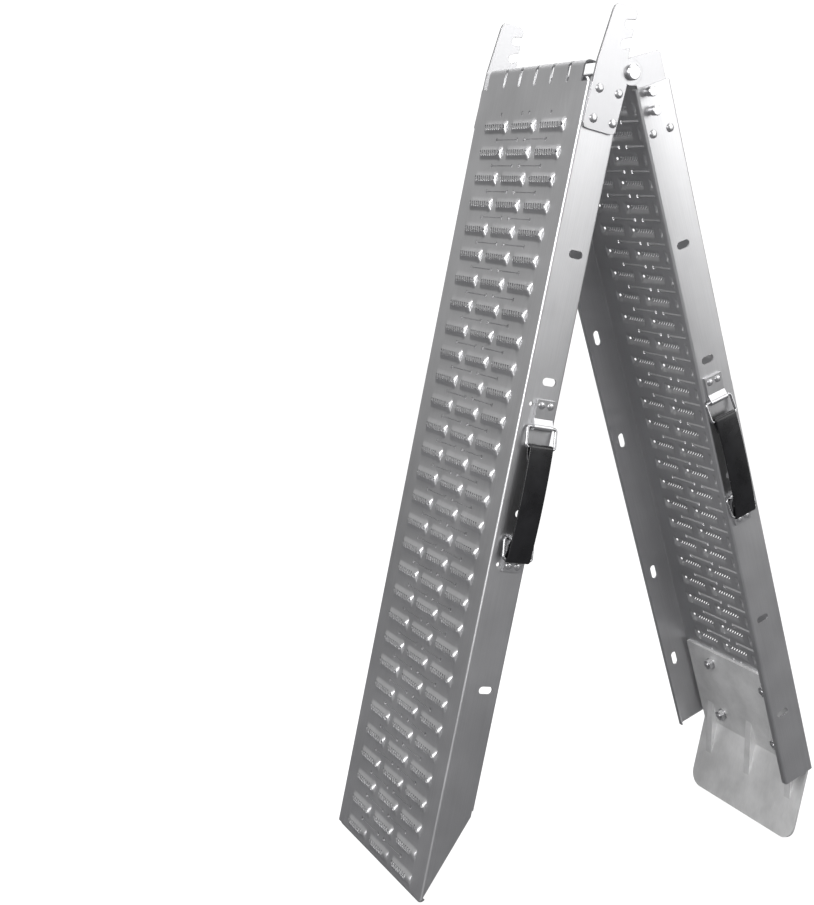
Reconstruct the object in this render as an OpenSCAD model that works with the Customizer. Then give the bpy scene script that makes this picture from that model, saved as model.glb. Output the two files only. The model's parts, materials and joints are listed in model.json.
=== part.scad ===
// Folding loading ramp: two pressed steel channels joined at a locking hinge,
// with a bolted rest lip, a bevelled toe and a strap handle on each half.
// Standing folded as an A-frame. X runs from the toe half to the lip half, Y across, Z up.

/* [Channels] */
// Width over the side flanges
ramp_w = 225; // [200:5:260]
// Length of the lip half's deck, from the fold axis
half_len = 950; // [850:10:1100]
// Depth of the side flanges, deck face to free edge
flange_h = 48; // [42:1:60]
// Thickness of the pressed sheet
sheet = 2; // [1.5:0.5:3]
// Width of the lip turned inward along each flange's free edge
return_w = 8; // [7:1:14]
// Length over which the toe flanges taper to nothing
toe_bevel = 110; // [90:5:140]
// Side clearance of the lip half inside the hook plates
side_gap = 0.5; // [0.3:0.1:1]

/* [Tread] */
// Distance between two rows of louvres
row_pitch = 30.2; // [28:0.1:34]
// Length of one louvre across the ramp
louvre_len = 50; // [40:1:54]
// Distance between two louvres in a row
louvre_pitch = 60; // [56:1:66]
// Height of a louvre above the deck
louvre_h = 5.5; // [4:0.5:8]
// Length of one slit between its end holes
slit_len = 45; // [36:1:48]
// Width of a comb slot at the hinge end
comb_slot_w = 5; // [4:0.5:8]

/* [Fold] */
// Angle between the two halves as the ramp stands
stand_angle = 30.4; // [26:0.2:34]
// Distance of the fold axis outside the flanges' free edges
axis_drop = 3; // [2:0.5:5]
// Radius of the pivot bolt
pivot_r = 5; // [4:0.5:6]
// Radius of a latch stud's shoulder
stud_r = 4.5; // [4:0.5:6]

/* [Handles] */
// Middle of the handle, measured from the fold axis
handle_at = 463; // [440:1:500]
// Distance between the rivets of the two ring brackets
handle_span = 183; // [176:1:196]
// Width of the strap
strap_w = 31; // [26:1:31]
// How far the strap bows out
strap_bow = 3; // [2:0.5:8]

/* [Lip] */
// Width of the lip plate
lip_w = 208; // [180:2:212]
// Length of the lip past its bend
lip_len = 100; // [80:1:120]
// Angle of the bend
lip_angle = 30; // [22:1:34]
// Thickness of the lip plate
lip_t = 4; // [3:0.5:5]

/* [Hidden] */
// Clearances
fit = 0.05;
run_fit = 0.08;
face_gap = 0.3;
// Channel section
deck_z = flange_h + axis_drop;
bend_r = 3;
hem_r = 3;
flange_from = [16, 20];
half_w = ramp_w / 2;
// Comb at the hinge end
comb_face = [-4, 5];
comb_r = 8;
comb_drop = 6;
comb_to = 21;
comb_pitch = 32.7;
comb_shift = 5.3;
comb_edge = 14.5;
// Toe: the toe half is longer than the lip half's deck
toe_len = half_len + 6;
// The deck's edge strips stop this far short of the bevelled bends
corner_gap = 0.6;
// How far a shape runs past the slope that cuts it
over = 5;
nose_r = 6;
nose_out = 4;
nose_w = ramp_w - 17;
// Tread rows, measured from the fold axis
toe_first_slit = 52;
toe_rows = 30;
lip_first_louvre = 51.6;
lip_rows = 26;
hole_s = 3;
hole_l = 4.5;
slit_w = 1;
// Slots in the side flanges
slot_w = 9;
slot_across = 18;
slot_along = 20;
slot_z = deck_z - 29.5;
slot_at = [203, 345, 495, 701, 845];
slots_toe = 4;
// Hinge plates, measured from the fold axis
plate_t = 3;
stud_at = [25.8, 46.8];
stud_z = 16.5;
notch_gap = 0.5;
seat_relief = 0.3;
boss_r = 14;
hook_rivet_at = [26, 58];
hook_rivet_z = [37, 11];
hinge_rivet_at = 72;
hinge_rivet_z = [37, 13];
stud_len = 5;
stud_head_r = 5.6;
stud_head_t = 7;
pivot_head_r = 8.5;
pivot_head_t = 5.5;
nut_t = 6;
rivet_r = 3;
rivet_head_r = 5;
rivet_dome = 2.2;
// Handle parts
handle_z = deck_z - 29.5;
wire_r = 1.8;
ring_len = 23;
ring_w = 38;
ring_bend = 3.2;
ring_rest = 12;
bracket_w = 25;
bracket_t = 3.5;
bracket_reach = [24, 31.5];
bracket_end = 6.5;
eye_wall = 2;
eye_r = wire_r + run_fit + eye_wall;
strap_t = 3;
bracket_rivet_r = 2.5;
bracket_rivet_pitch = 12;
spare_hole_z = handle_z + 18;
// Lip
lip_from = 825;
lip_bend_at = half_len + 6;
lip_inner_r = 4;
lip_corner = 20;
lip_bolt_at = [845, 932];
lip_bolt_y = 56;
bolt_r = 4;
rib_w = 11;
rib_reach = [36, 48];
rib_at = [-81, 0, 81];
// Standing pose: the lean of each half that puts both feet on the ground
foot_toe = [toe_len + nose_out - nose_r, deck_z - nose_r];
lip_outer = lip_inner_r + lip_t;
lip_root = [lip_bend_at + lip_outer * sin(lip_angle), deck_z - sheet - lip_outer * (1 - cos(lip_angle))];
foot_lip = lip_root + lip_len * [cos(lip_angle), -sin(lip_angle)];
function drop(p, lean) = p[0] * cos(lean) - p[1] * sin(lean);
function miss(lean) = drop(foot_toe, lean) + nose_r - drop(foot_lip, stand_angle - lean);
function solve(lo, hi, n) =
    n == 0 ? (lo + hi) / 2
    : miss((lo + hi) / 2) > 0 ? solve((lo + hi) / 2, hi, n - 1)
    : solve(lo, (lo + hi) / 2, n - 1);
lean_toe = solve(-10, 25, 40);
lean_lip = stand_angle - lean_toe;
pivot_z = drop(foot_toe, lean_toe) + nose_r;
// The origin is the bottom centre of the whole ramp's box
last_crest = toe_first_slit + (toe_rows - 0.5) * row_pitch;
reach_toe = last_crest * sin(lean_toe) + (deck_z + louvre_h) * cos(lean_toe);
reach_lip = lip_bend_at * sin(lean_lip) + (deck_z - sheet - lip_outer) * cos(lean_lip) + lip_outer;
pivot_x = (reach_toe - reach_lip) / 2;
bar_out = eye_r + ring_len * sin(ring_rest);
near_reach = bar_out + strap_bow + eye_r;
far_reach = stud_len + stud_head_t - side_gap;
mid_y = (near_reach - far_reach) / 2;

steel = "#c9ccce";
plate_steel = "#e4e6e7";
bolt_steel = "#b9bcc0";
black = "#1c1c1e";

// ---- Frames. Each half is drawn with X down its length from the fold axis,
// ---- Y across and Z out through the deck, and then stood on its foot.

module toe_half() {
    translate([pivot_x, mid_y, pivot_z])
        rotate([0, lean_toe - 90, 0])
            rotate([0, 0, 180])
                children();
}

module lip_half() {
    translate([pivot_x, mid_y, pivot_z])
        rotate([0, 90 - lean_lip, 0])
            children();
}

// Turns a drawing in the length-and-depth plane into a plate standing from y0 to y0 + t
module upright(y0, t) {
    translate([0, y0 + t, 0])
        rotate([90, 0, 0])
            linear_extrude(t)
                children();
}

// As upright(), for the side of the ramp given by sign, measured outward from |y| = out
module side_plate(sign, out, t) {
    upright(sign > 0 ? out : -out - t, t)
        children();
}

// A round bar from |y| = a to |y| = b on one side
module side_bar(sign, x, z, r, a, b) {
    translate([x, sign > 0 ? b : -a, z])
        rotate([90, 0, 0])
            cylinder(r = r, h = b - a, $fn = 48);
}

module ring_sector(r_out, r_in, from, to) {
    intersection() {
        difference() {
            circle(r = r_out, $fn = 96);
            circle(r = r_in, $fn = 96);
        }
        polygon([[0, 0], 3 * r_out * [cos(from), sin(from)],
            3 * r_out * [cos((from + to) / 2), sin((from + to) / 2)], 3 * r_out * [cos(to), sin(to)]]);
    }
}

module stadium(len, w) {
    square([len - w, w], center = true);
    for (e = [-1, 1])
        translate([e * (len - w) / 2, 0])
            circle(d = w, $fn = 48);
}

// ---- Pressed channels

module slit_row(x, cut) {
    for (side = [-1, 1], end = [-1, 1])
        translate([x, side * louvre_pitch / 2 + end * slit_len / 2])
            square([hole_l, hole_s], center = true);
    if (cut)
        for (side = [-1, 1])
            translate([x, side * louvre_pitch / 2])
                square([slit_w, slit_len], center = true);
}

module louvre_row_cut(x) {
    for (i = [-1:1])
        translate([x, i * louvre_pitch])
            square([12, louvre_len], center = true);
}

// One louvre: a ridge of the deck pushed up
module louvre(x, y) {
    translate([x, 0, deck_z])
        upright(y - louvre_len / 2, louvre_len)
            polygon([[-9, -sheet], [-6, -sheet], [0, louvre_h - 2.6], [6, -sheet], [9, -sheet], [9, 0],
                [4, louvre_h - 1.9], [1.2, louvre_h], [-1.2, louvre_h], [-4, louvre_h - 1.9], [-9, 0]]);
}

module deck_outline(toe) {
    from = comb_face[toe ? 0 : 1] + comb_r;
    edge_to = toe ? toe_len - corner_gap : half_len;
    translate([from, -half_w + comb_edge])
        square([(toe ? foot_toe[0] : half_len) - from, ramp_w - 2 * comb_edge]);
    translate([comb_to, -half_w + bend_r])
        square([edge_to - comb_to, comb_edge - bend_r]);
    translate([comb_to, half_w - comb_edge])
        square([edge_to - comb_to, comb_edge - bend_r]);
}

module comb_cuts(toe) {
    for (i = [-2:2])
        translate([-6, i * comb_pitch + (toe ? -comb_shift : comb_shift) - comb_slot_w / 2])
            square([comb_to + 6, comb_slot_w]);
}

// The hinge end of the deck, turned down and cut into a comb
module comb_turn(toe) {
    from = comb_face[toe ? 0 : 1];
    difference() {
        upright(-half_w + comb_edge, ramp_w - 2 * comb_edge) {
            translate([from + comb_r, deck_z - comb_r])
                ring_sector(comb_r, comb_r - sheet, 90, 180);
            translate([from, deck_z - comb_r - comb_drop])
                square([sheet, comb_drop]);
        }
        translate([0, 0, deck_z - 30])
            linear_extrude(40)
                comb_cuts(toe);
    }
}

// The toe end of the deck, rolled under to meet the ground
module toe_nose() {
    upright(-nose_w / 2, nose_w)
        translate([foot_toe[0], foot_toe[1]])
            ring_sector(nose_r, nose_r - sheet, -60, 90);
}

// Everything below the slope that the toe flanges taper along
module bevel_cut(sign, w) {
    run = toe_bevel / flange_h;
    side_plate(sign, w - return_w - 1, return_w + 2)
        polygon([[toe_len - toe_bevel - run, axis_drop - 1], [toe_len + 2 * over, axis_drop - 1],
            [toe_len + 2 * over, deck_z + 1], [toe_len + run, deck_z + 1]]);
}

// One side flange with its bends and return lip; w is the half width it stands at
module flange(sign, w, toe, across, holes, spare) {
    from = flange_from[toe ? 0 : 1];
    end = toe ? toe_len + over : half_len;
    hem_end = toe ? toe_len - toe_bevel : half_len;
    low = axis_drop + hem_r;
    high = deck_z - bend_r;
    difference() {
        side_plate(sign, w - sheet, sheet)
            difference() {
                polygon([[from, low], [end, low], [end, high], [from, high]]);
                for (i = [0:(toe ? slots_toe : len(slot_at)) - 1])
                    translate([slot_at[i], slot_z])
                        rotate(across ? 90 : 0)
                            stadium(across ? slot_across : slot_along, slot_w);
            }
        for (h = holes)
            side_bar(sign, h[0], h[1], h[2] + fit, w - 2 * sheet, w + sheet);
        for (h = spare)
            side_bar(sign, h[0], h[1], h[2], w - 2 * sheet, w + sheet);
        if (toe)
            bevel_cut(sign, w);
    }
    // bend between deck and flange
    difference() {
        mirror([0, sign > 0 ? 0 : 1, 0])
            translate([comb_to, w - bend_r, deck_z - bend_r])
                rotate([90, 0, 90])
                    linear_extrude(end - comb_to)
                        ring_sector(bend_r, bend_r - sheet, 0, 90);
        if (toe)
            bevel_cut(sign, w);
    }
    mirror([0, sign > 0 ? 0 : 1, 0]) {
        // free edge turned inward
        translate([from, w - hem_r, axis_drop + hem_r])
            rotate([90, 0, 90])
                linear_extrude(hem_end - from)
                    ring_sector(hem_r, hem_r - sheet, -90, 0);
        translate([from, w - return_w, axis_drop])
            cube([hem_end - from, return_w - hem_r, sheet]);
    }
}

function row(list, z, r) = [for (x = list, h = z) [x, h, r]];

module channel_toe() {
    hook_holes = row(hook_rivet_at, hook_rivet_z, rivet_r);
    color(steel)
        toe_half() {
            translate([0, 0, deck_z - sheet])
                linear_extrude(sheet)
                    difference() {
                        deck_outline(true);
                        comb_cuts(true);
                        for (k = [0:toe_rows - 1]) {
                            slit_row(toe_first_slit + k * row_pitch, k > 0);
                            louvre_row_cut(toe_first_slit + (k + 0.5) * row_pitch);
                        }
                    }
            for (k = [0:toe_rows - 1], i = [-1:1])
                louvre(toe_first_slit + (k + 0.5) * row_pitch, i * louvre_pitch);
            comb_turn(true);
            toe_nose();
            flange(1, half_w, true, true, concat(hook_holes, bracket_holes()),
                [for (e = [-1, 1]) [rivet_line(e), spare_hole_z, bracket_rivet_r]]);
            flange(-1, half_w, true, false, hook_holes, []);
        }
}

module channel_lip() {
    w = half_w - side_gap;
    hinge_holes = concat(row([hinge_rivet_at], hinge_rivet_z, rivet_r), row(stud_at, [stud_z], rivet_r));
    color(steel)
        lip_half() {
            difference() {
                translate([0, 0, deck_z - sheet])
                    linear_extrude(sheet)
                        difference() {
                            intersection() {
                                deck_outline(false);
                                translate([0, -w + bend_r])
                                    square([half_len, 2 * (w - bend_r)]);
                            }
                            comb_cuts(false);
                            for (k = [0:lip_rows - 1]) {
                                louvre_row_cut(lip_first_louvre + k * row_pitch);
                                slit_row(lip_first_louvre + (k + 0.5) * row_pitch, k < lip_rows - 1);
                            }
                        }
                for (x = lip_bolt_at, y = [-1, 1])
                    translate([x, y * lip_bolt_y, deck_z - 2 * sheet])
                        cylinder(r = bolt_r + fit, h = 3 * sheet, $fn = 48);
            }
            for (k = [0:lip_rows - 1], i = [-1:1])
                louvre(lip_first_louvre + k * row_pitch, i * louvre_pitch);
            comb_turn(false);
            flange(-1, w, false, true, concat(hinge_holes, bracket_holes()), []);
            flange(1, w, false, false, hinge_holes, []);
        }
}

// ---- Hook plates, riveted outside the toe half. Each latch stud swings into its notch
// ---- along an arc about the fold axis.

module notch(x) {
    reach = sqrt(x * x + stud_z * stud_z);
    seat = atan2(stud_z, -x);
    room = stud_r + notch_gap;
    translate([-x, stud_z])
        circle(r = room + seat_relief, $fn = 64);
    intersection() {
        difference() {
            circle(r = reach + room, $fn = 128);
            circle(r = reach - room, $fn = 128);
        }
        polygon([[0, 0], 90 * [cos(seat), sin(seat)], [-90, 0], 90 * [cos(205), sin(205)]]);
    }
}

module hook_outline() {
    difference() {
        union() {
            polygon([[66, 5.5], [69, 7.5], [70, 11], [70, 42], [69, 46.5], [65, 49], [-3, 46.5],
                [-57, 39.5], [-61.5, 38], [-64.2, 35], [-65, 17], [-63.8, 10.8], [-59.6, 8], [-37, 9],
                [-19, 8.6], [-14, 8], [16, 3]]);
            circle(r = boss_r, $fn = 64);
        }
        for (x = stud_at)
            notch(x);
    }
}

module hook_plate(sign) {
    color(plate_steel)
        toe_half()
            difference() {
                side_plate(sign, half_w, plate_t)
                    hook_outline();
                side_bar(sign, 0, 0, pivot_r + fit, half_w - 1, half_w + plate_t + 1);
                for (x = hook_rivet_at, z = hook_rivet_z)
                    side_bar(sign, x, z, rivet_r + fit, half_w - 1, half_w + plate_t + 1);
            }
}

// A rivet: domed head outside, flat formed head inside, through material from |y| = a to b
module rivet(sign, x, z, r, head_r, dome, a, b) {
    mirror([0, sign > 0 ? 0 : 1, 0])
        translate([x, 0, z])
            rotate([-90, 0, 0])
                rotate_extrude($fn = 48)
                    polygon([[0, a - 1.5], [head_r - 1.2, a - 1.5], [head_r - 0.8, a], [r, a], [r, b],
                        [head_r, b], [head_r * 0.94, b + dome * 0.4], [head_r * 0.75, b + dome * 0.72],
                        [head_r * 0.4, b + dome * 0.95], [0, b + dome]]);
}

module hook_rivets(sign) {
    color(bolt_steel)
        toe_half()
            for (x = hook_rivet_at, z = hook_rivet_z)
                rivet(sign, x, z, rivet_r, rivet_head_r, rivet_dome, half_w - sheet, half_w + plate_t);
}

// ---- Hinge plates, riveted inside the lip half

module hinge_outline() {
    polygon([[0, -5], [12, -5], [16.3, 6.5], [82, 6.5], [82, 46.5], [-9, 46.5], [-12, 43],
        [-14.5, 8], [-13, 0]]);
    circle(r = boss_r, $fn = 64);
}

module hinge_plate(sign) {
    out = half_w - side_gap - sheet;
    color(plate_steel)
        lip_half()
            difference() {
                side_plate(sign, out - plate_t, plate_t)
                    hinge_outline();
                side_bar(sign, 0, 0, pivot_r + run_fit, out - plate_t - 1, out + 1);
                for (x = concat([hinge_rivet_at], stud_at))
                    for (z = x == hinge_rivet_at ? hinge_rivet_z : [stud_z])
                        side_bar(sign, x, z, rivet_r + fit, out - plate_t - 1, out + 1);
            }
}

module hinge_rivets(sign) {
    outer = half_w - side_gap;
    color(bolt_steel)
        lip_half()
            for (z = hinge_rivet_z)
                rivet(sign, hinge_rivet_at, z, rivet_r, rivet_head_r, rivet_dome,
                    outer - sheet - plate_t, outer);
}

// Shouldered studs that seat in the hook plates' notches
module latch_studs(sign) {
    outer = half_w - side_gap;
    inner = outer - sheet - plate_t;
    color(bolt_steel)
        lip_half()
            mirror([0, sign > 0 ? 0 : 1, 0])
                for (x = stud_at)
                    translate([x, 0, stud_z])
                        rotate([-90, 0, 0])
                            rotate_extrude($fn = 64)
                                polygon([[0, inner - 1.5], [4.2, inner - 1.5], [4.5, inner], [rivet_r, inner],
                                    [rivet_r, outer], [stud_r, outer], [stud_r, outer + stud_len],
                                    [stud_head_r, outer + stud_len],
                                    [stud_head_r, outer + stud_len + stud_head_t - 1],
                                    [stud_head_r - 1, outer + stud_len + stud_head_t],
                                    [0, outer + stud_len + stud_head_t]]);
}

// ---- Fold pivots, fixed in the hook plates

module pivot_bolt(sign) {
    head = half_w + plate_t;
    inner = half_w - side_gap - sheet - plate_t - face_gap;
    color(bolt_steel)
        toe_half()
            mirror([0, sign > 0 ? 0 : 1, 0])
                rotate([-90, 0, 0])
                    rotate_extrude($fn = 64)
                        polygon([[0, inner - nut_t - 2], [pivot_r - 1, inner - nut_t - 2],
                            [pivot_r, inner - nut_t - 1], [pivot_r, head], [pivot_head_r, head],
                            [pivot_head_r, head + pivot_head_t - 1.5],
                            [pivot_head_r - 1.5, head + pivot_head_t], [0, head + pivot_head_t]]);
}

module pivot_spacer(sign) {
    a = half_w - side_gap - sheet + face_gap;
    color(bolt_steel)
        toe_half()
            difference() {
                side_bar(sign, 0, 0, pivot_r + 4, a, half_w);
                side_bar(sign, 0, 0, pivot_r + fit, a - 1, half_w + 1);
            }
}

module pivot_nut(sign) {
    b = half_w - side_gap - sheet - plate_t - face_gap;
    color(bolt_steel)
        toe_half()
            difference() {
                translate([0, sign > 0 ? b : nut_t - b, 0])
                    rotate([90, 0, 0])
                        cylinder(r = 9.8, h = nut_t, $fn = 6);
                side_bar(sign, 0, 0, pivot_r + fit, b - nut_t - 1, b + 1);
            }
}

// ---- Strap handle. Drawn on the +Y flange; the lip half mirrors it.

function reach_of(e) = bracket_reach[e < 0 ? 0 : 1];
function rivet_line(e) = handle_at + e * handle_span / 2;
function pin_line(e) = rivet_line(e) - e * reach_of(e);
function bracket_holes() = [for (e = [-1, 1], i = [-1, 1])
    [rivet_line(e), handle_z + i * bracket_rivet_pitch / 2, bracket_rivet_r]];

// Folded sheet bracket: two layers riveted down, rolled into an eye for the ring
module bracket(e, face) {
    pin = pin_line(e);
    end = reach_of(e) + bracket_end;
    difference() {
        translate([0, 0, handle_z - bracket_w / 2])
            linear_extrude(bracket_w)
                difference() {
                    translate([pin, face])
                        mirror([e < 0 ? 1 : 0, 0]) {
                            translate([0, eye_r])
                                circle(r = eye_r, $fn = 64);
                            polygon([[0.8, 0], [end, 0], [end, bracket_t], [9, bracket_t],
                                [3, 2 * eye_r - 1.3], [0.8, 2 * eye_r - 0.2]]);
                        }
                    translate([pin, face + eye_r])
                        circle(r = wire_r + run_fit, $fn = 64);
                }
        for (i = [-1, 1])
            side_bar(1, rivet_line(e), handle_z + i * bracket_rivet_pitch / 2, bracket_rivet_r + fit,
                face - 1, face + bracket_t + 1);
    }
}

module bracket_rivets(face) {
    for (e = [-1, 1], i = [-1, 1])
        rivet(1, rivet_line(e), handle_z + i * bracket_rivet_pitch / 2, bracket_rivet_r, 4.2, 1.8,
            face - sheet, face + bracket_t);
}

// Rectangular wire ring, from its pin bar at the bracket to its strap bar
module ring(e, face) {
    bar = ring_w / 2 - ring_bend;
    translate([pin_line(e), face + eye_r, handle_z])
        rotate([0, 0, ring_rest]) {
            for (x = [0, ring_len])
                translate([x, 0, -bar])
                    cylinder(r = wire_r, h = 2 * bar, $fn = 48);
            for (s = [-1, 1])
                translate([ring_bend, 0, s * ring_w / 2])
                    rotate([0, 90, 0])
                        cylinder(r = wire_r, h = ring_len - 2 * ring_bend, $fn = 48);
            for (x = [0, 1], z = [0, 1])
                translate([x ? ring_len - ring_bend : ring_bend, 0, z ? bar : -bar])
                    mirror([1 - x, 0, 0])
                        mirror([0, 0, 1 - z])
                            rotate([90, 0, 0])
                                rotate_extrude(angle = 90, $fn = 96)
                                    translate([ring_bend, 0])
                                        circle(r = wire_r, $fn = 48);
        }
}

// Strap: an eye round each ring's bar and a band bowed clear of the flange
module strap(face) {
    bar_x = [for (e = [-1, 1]) pin_line(e) + ring_len * cos(ring_rest)];
    bar_y = face + bar_out;
    steps = 16;
    run = bar_x[1] - bar_x[0];
    function bow(t) = bar_y + strap_bow * pow(sin(180 * t), 0.8) + eye_r - strap_t;
    inner = [for (i = [0:steps]) [bar_x[0] + run * i / steps, bow(i / steps)]];
    outer = [for (i = [steps:-1:0]) [bar_x[0] + run * i / steps, bow(i / steps) + strap_t]];
    translate([0, 0, handle_z - strap_w / 2])
        linear_extrude(strap_w)
            difference() {
                union() {
                    polygon(concat(inner, outer));
                    for (x = bar_x)
                        translate([x, bar_y])
                            circle(r = eye_r, $fn = 64);
                }
                for (x = bar_x)
                    translate([x, bar_y])
                        circle(r = wire_r + run_fit, $fn = 64);
            }
}

module on_toe(c) {
    color(c)
        toe_half()
            children();
}

module on_lip(c) {
    color(c)
        lip_half()
            mirror([0, 1, 0])
                children();
}

// ---- Rest lip, bolted under the deck of the lip half

module lip_plate() {
    back = deck_z - sheet - lip_t;
    color(steel)
        lip_half() {
            difference() {
                upright(-lip_w / 2, lip_w)
                    lip_profile();
                for (x = lip_bolt_at, y = [-1, 1])
                    translate([x, y * lip_bolt_y, back - 1])
                        cylinder(r = bolt_r + fit, h = lip_t + 2, $fn = 48);
                for (side = [0, 1])
                    mirror([0, side, 0])
                        translate([lip_root[0], 0, lip_root[1]])
                            rotate([0, lip_angle, 0])
                                translate([0, 0, -lip_t - 1])
                                    linear_extrude(lip_t + 2)
                                        lip_corner_cut();
            }
            for (y = rib_at)
                upright(y - rib_w / 2, rib_w)
                    rib_outline();
        }
}

// The plate seen from its side: flat, bend and sloping rest
module lip_profile() {
    along = [cos(lip_angle), -sin(lip_angle)];
    inward = [sin(lip_angle), cos(lip_angle)];
    pin = [lip_bend_at, deck_z - sheet - lip_outer];
    arc_in = [for (i = [0:6]) pin + lip_inner_r * [sin(lip_angle * i / 6), cos(lip_angle * i / 6)]];
    arc_out = [for (i = [6:-1:0]) pin + lip_outer * [sin(lip_angle * i / 6), cos(lip_angle * i / 6)]];
    polygon(concat([[lip_from, deck_z - sheet], [lip_from, deck_z - sheet - lip_t]], arc_in,
        [lip_root + lip_len * along - lip_t * inward, lip_root + lip_len * along], arc_out));
}

module lip_corner_cut() {
    x = lip_len - lip_corner;
    y = lip_w / 2 - lip_corner;
    arc = [for (a = [90:-15:0]) [x + lip_corner * cos(a), y + lip_corner * sin(a)]];
    polygon(concat([[lip_len + 1, lip_w / 2 + 1], [x, lip_w / 2 + 1]], arc, [[lip_len + 1, y]]));
}

// A stiffening rib pressed across the bend
module rib_outline() {
    back = deck_z - sheet - lip_t;
    corner = [lip_bend_at, back - lip_inner_r] + lip_inner_r * [sin(lip_angle), cos(lip_angle)];
    along = [cos(lip_angle), -sin(lip_angle)];
    inward = [sin(lip_angle), cos(lip_angle)];
    polygon([[lip_bend_at - rib_reach[0], back + 0.5], corner + rib_reach[1] * along + 0.5 * inward,
        corner + 1.5 * inward, [lip_bend_at, back + 1.5]]);
}

module lip_bolts() {
    color(bolt_steel)
        lip_half()
            for (x = lip_bolt_at, y = [-1, 1])
                translate([x, y * lip_bolt_y, deck_z])
                    rotate_extrude($fn = 48)
                        polygon([[0, -16], [bolt_r - 0.8, -16], [bolt_r, -15.2], [bolt_r, 0], [7, 0],
                            [6.6, 1.4], [5.2, 2.6], [2.8, 3.3], [0, 3.5]]);
}

module lip_washers() {
    color(bolt_steel)
        lip_half()
            for (x = lip_bolt_at, y = [-1, 1])
                translate([x, y * lip_bolt_y, deck_z - sheet - lip_t - 1.6])
                    difference() {
                        cylinder(r = 8, h = 1.6, $fn = 48);
                        translate([0, 0, -1])
                            cylinder(r = bolt_r + fit, h = 4, $fn = 48);
                    }
}

module lip_nuts() {
    color(bolt_steel)
        lip_half()
            for (x = lip_bolt_at, y = [-1, 1])
                translate([x, y * lip_bolt_y, deck_z - sheet - lip_t - 1.6 - 6.5])
                    difference() {
                        cylinder(r = 7.5, h = 6.5, $fn = 6);
                        translate([0, 0, -1])
                            cylinder(r = bolt_r + fit, h = 9, $fn = 48);
                    }
}

channel_toe();
hook_plate(1);  // hook_plate_near
hook_plate(-1);  // hook_plate_far
hook_rivets(1);  // hook_rivets_near
hook_rivets(-1);  // hook_rivets_far
on_toe(steel) bracket(-1, half_w);  // bracket_toe_upper
on_toe(steel) bracket(1, half_w);  // bracket_toe_lower
on_toe(bolt_steel) bracket_rivets(half_w);  // bracket_rivets_toe
on_toe(plate_steel) ring(-1, half_w);  // ring_toe_upper
on_toe(plate_steel) ring(1, half_w);  // ring_toe_lower
on_toe(black) strap(half_w);  // strap_toe
channel_lip();
hinge_plate(-1);  // hinge_plate_near
hinge_plate(1);  // hinge_plate_far
hinge_rivets(-1);  // hinge_rivets_near
hinge_rivets(1);  // hinge_rivets_far
latch_studs(-1);  // latch_studs_near
latch_studs(1);  // latch_studs_far
pivot_bolt(1);  // pivot_bolt_near
pivot_bolt(-1);  // pivot_bolt_far
pivot_spacer(1);  // pivot_spacer_near
pivot_spacer(-1);  // pivot_spacer_far
pivot_nut(1);  // pivot_nut_near
pivot_nut(-1);  // pivot_nut_far
lip_plate();
lip_bolts();
lip_washers();
lip_nuts();
on_lip(steel) bracket(-1, half_w - side_gap);  // bracket_lip_upper
on_lip(steel) bracket(1, half_w - side_gap);  // bracket_lip_lower
on_lip(bolt_steel) bracket_rivets(half_w - side_gap);  // bracket_rivets_lip
on_lip(plate_steel) ring(-1, half_w - side_gap);  // ring_lip_upper
on_lip(plate_steel) ring(1, half_w - side_gap);  // ring_lip_lower
on_lip(black) strap(half_w - side_gap);  // strap_lip
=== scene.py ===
import json
import math

import bpy
import bmesh
import numpy as np
from mathutils import Matrix, Vector
from mathutils.geometry import delaunay_2d_cdt


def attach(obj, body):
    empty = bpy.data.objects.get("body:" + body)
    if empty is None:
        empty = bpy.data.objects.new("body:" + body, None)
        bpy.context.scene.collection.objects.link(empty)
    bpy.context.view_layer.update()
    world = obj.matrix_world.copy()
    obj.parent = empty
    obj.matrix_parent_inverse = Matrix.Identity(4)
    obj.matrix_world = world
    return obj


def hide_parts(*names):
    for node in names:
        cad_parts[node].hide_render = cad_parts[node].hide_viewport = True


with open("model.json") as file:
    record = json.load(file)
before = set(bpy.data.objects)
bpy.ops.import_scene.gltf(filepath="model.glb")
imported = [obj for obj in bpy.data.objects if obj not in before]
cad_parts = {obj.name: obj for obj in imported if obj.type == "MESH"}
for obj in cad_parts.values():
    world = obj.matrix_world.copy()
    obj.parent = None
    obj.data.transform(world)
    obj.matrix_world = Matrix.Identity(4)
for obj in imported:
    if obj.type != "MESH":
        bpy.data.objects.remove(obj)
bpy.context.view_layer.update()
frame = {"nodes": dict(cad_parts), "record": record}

# ---------------------------------------------------------------- frames of the two halves
JOINTS = {j["name"]: j for j in frame["record"]["behaviour"]["joints"]}
PIVOT = Vector(JOINTS["fold"]["pos_m"]) * 1000
Y = Vector((0, 1, 0))


class Half:
    """s runs down the half from the fold axis, y across (near side negative), z out through the deck."""

    def __init__(self, body, out, along, width):
        self.body, self.n, self.s, self.w = body, out.normalized(), along.normalized(), width
        self.flip = self.s.cross(Y).dot(self.n) < 0

    def at(self, s, y, z):
        return (PIVOT + self.s * s + Y * y + self.n * z) / 1000


_n1 = Vector(JOINTS["toe_handle_lift"]["axis"])
_n2 = -Vector(JOINTS["lip_handle_lift"]["axis"])
TOE = Half("toe_half", _n1, _n1.cross(Y), 112.5)
LIP = Half("lip_half", _n2, Y.cross(_n2), 112.0)

# the pressed channels, in millimetres: the deck's outer face, the two far ends, the radius between deck and
# flange, the distance from one row of louvres to the next, and the sheet's thickness
DECK = 51.0
LIP_END = 950.0
TOE_END = 956.0
BEND = 3.0
PITCH = 30.2
SHEET = 2.0


# ---------------------------------------------------------------- mesh helpers
UV_UNIT = 100
SLIVER_M2 = 1e-12


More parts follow.
